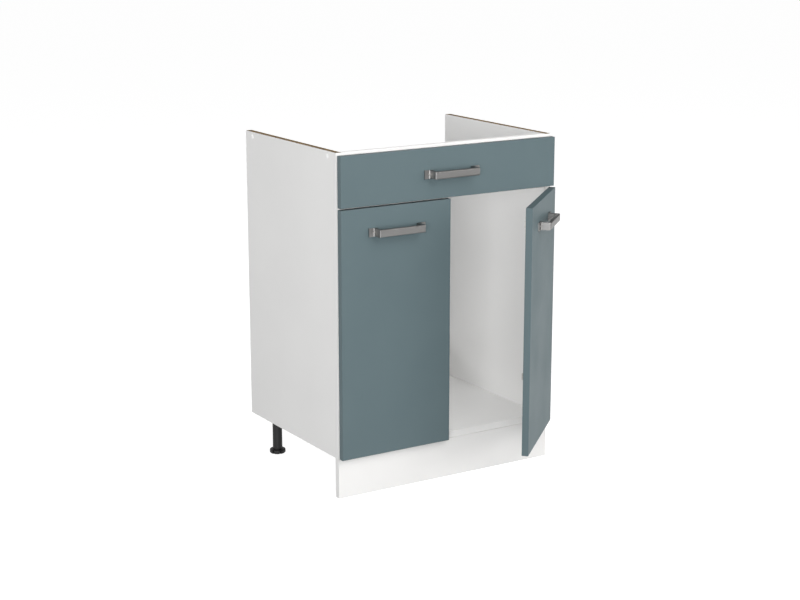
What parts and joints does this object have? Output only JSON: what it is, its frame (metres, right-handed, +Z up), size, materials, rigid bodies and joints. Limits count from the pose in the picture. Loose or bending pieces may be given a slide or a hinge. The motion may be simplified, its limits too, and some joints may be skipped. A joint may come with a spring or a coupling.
{
  "type": "sink base cabinet",
  "caption": "White sink base unit, 600 mm wide, with a blue-grey false drawer front, two doors on cup hinges, bow handles and a clipped plinth.",
  "frame": {"origin": "on the floor, at the middle of the width, in the plane of the carcass's front edges, which lies on the plinth's underside", "axes": "+X to the right seen from the front, +Y to the back, +Z up"},
  "size_m": [0.6046, 0.6585, 0.816],
  "materials": {
    "white_board": "matt white faced chipboard",
    "blue_grey_front": "matt blue-grey faced board",
    "handle_metal": "brushed satin",
    "plated_steel": "nickel plated",
    "die_cast_zinc": "plated die cast",
    "beech": "raw turned wood",
    "white_plastic": "moulded, slightly shiny",
    "black_plastic": "moulded, matt"
  },
  "bodies": {
    "cabinet": {"side_panel_left": "white_board", "side_panel_right": "white_board", "bottom_panel": "white_board", "front_rail": "white_board", "rear_rail": "white_board", "drawer_front": "blue_grey_front", "handle_drawer": "handle_metal", "handle_screws_drawer": "plated_steel", "front_spacers": "black_plastic", "front_screws": "plated_steel", "cam_locks": "die_cast_zinc", "cam_bolts": "plated_steel", "dowels": "beech", "cover_caps": "white_plastic", "leg_sockets": "black_plastic", "leg_screws": "plated_steel", "leg_columns": "black_plastic", "plinth": "white_board", "plinth_clips": "black_plastic", "clip_screws": "plated_steel", "mounting_plates_left": "die_cast_zinc", "plate_screws_left": "plated_steel", "hinge_arms_left": "plated_steel", "arm_pins_left": "plated_steel", "adjust_screws_left": "plated_steel", "mounting_plates_right": "die_cast_zinc", "plate_screws_right": "plated_steel", "hinge_arms_right": "plated_steel", "arm_pins_right": "plated_steel", "adjust_screws_right": "plated_steel"},
    "outer_links_left": {"outer_links_left": "plated_steel"},
    "door_left": {"door_left": "blue_grey_front", "handle_left": "handle_metal", "handle_screws_left": "plated_steel", "hinge_cups_left": "plated_steel", "cup_screws_left": "plated_steel", "cup_pins_left": "plated_steel", "bumpers_left": "white_plastic"},
    "inner_links_left": {"inner_links_left": "plated_steel"},
    "outer_links_right": {"outer_links_right": "plated_steel"},
    "door_right": {"door_right": "blue_grey_front", "handle_right": "handle_metal", "handle_screws_right": "plated_steel", "hinge_cups_right": "plated_steel", "cup_screws_right": "plated_steel", "cup_pins_right": "plated_steel", "bumpers_right": "white_plastic"},
    "inner_links_right": {"inner_links_right": "plated_steel"},
    "foot_front_left": {"foot_front_left": "black_plastic"},
    "foot_front_right": {"foot_front_right": "black_plastic"},
    "foot_rear_left": {"foot_rear_left": "black_plastic"},
    "foot_rear_right": {"foot_rear_right": "black_plastic"}
  },
  "joints": [
    {"name": "door_left_swing", "type": "hinge", "parent": "outer_links_left", "child": "door_left", "pos_m": [-0.2885, -0.0032, 0.392], "axis": [0, 0, -1], "range_deg": [0, 131.57]},
    {"name": "outer_links_left_swing", "type": "hinge", "parent": "cabinet", "child": "outer_links_left", "pos_m": [-0.256, 0.0005, 0.392], "axis": [0, 0, -1], "range_deg": [-36.6, 0]},
    {"name": "inner_links_left_swing", "type": "hinge", "parent": "cabinet", "child": "inner_links_left", "pos_m": [-0.2767, -0.009, 0.392], "axis": [0, 0, -1], "range_deg": [-64.2, 0]},
    {"name": "door_right_swing", "type": "hinge", "parent": "outer_links_right", "child": "door_right", "pos_m": [0.2861, -0.01231, 0.392], "axis": [0, 0, 1], "range_deg": [-59.55, 72.02]},
    {"name": "outer_links_right_swing", "type": "hinge", "parent": "cabinet", "child": "outer_links_right", "pos_m": [0.256, 0.0005, 0.392], "axis": [0, 0, 1], "range_deg": [-20.1, 16.6]},
    {"name": "inner_links_right_swing", "type": "hinge", "parent": "cabinet", "child": "inner_links_right", "pos_m": [0.2767, -0.009, 0.392], "axis": [0, 0, 1], "range_deg": [-35.1, 29.1]},
    {"name": "foot_front_left_screw_out", "type": "slide", "parent": "cabinet", "child": "foot_front_left", "axis": [0, 0, -1], "range_m": [0, 0.02]},
    {"name": "foot_front_right_screw_out", "type": "slide", "parent": "cabinet", "child": "foot_front_right", "axis": [0, 0, -1], "range_m": [0, 0.02]},
    {"name": "foot_rear_left_screw_out", "type": "slide", "parent": "cabinet", "child": "foot_rear_left", "axis": [0, 0, -1], "range_m": [0, 0.02]},
    {"name": "foot_rear_right_screw_out", "type": "slide", "parent": "cabinet", "child": "foot_rear_right", "axis": [0, 0, -1], "range_m": [0, 0.02]}
  ],
  "couplings": [
    {"joint": "outer_links_left_swing", "follows": "door_left_swing", "ratio": -0.27798},
    {"joint": "inner_links_left_swing", "follows": "door_left_swing", "ratio": -0.48736},
    {"joint": "outer_links_right_swing", "follows": "door_right_swing", "ratio": -0.27798},
    {"joint": "inner_links_right_swing", "follows": "door_right_swing", "ratio": -0.48736}
  ]
}
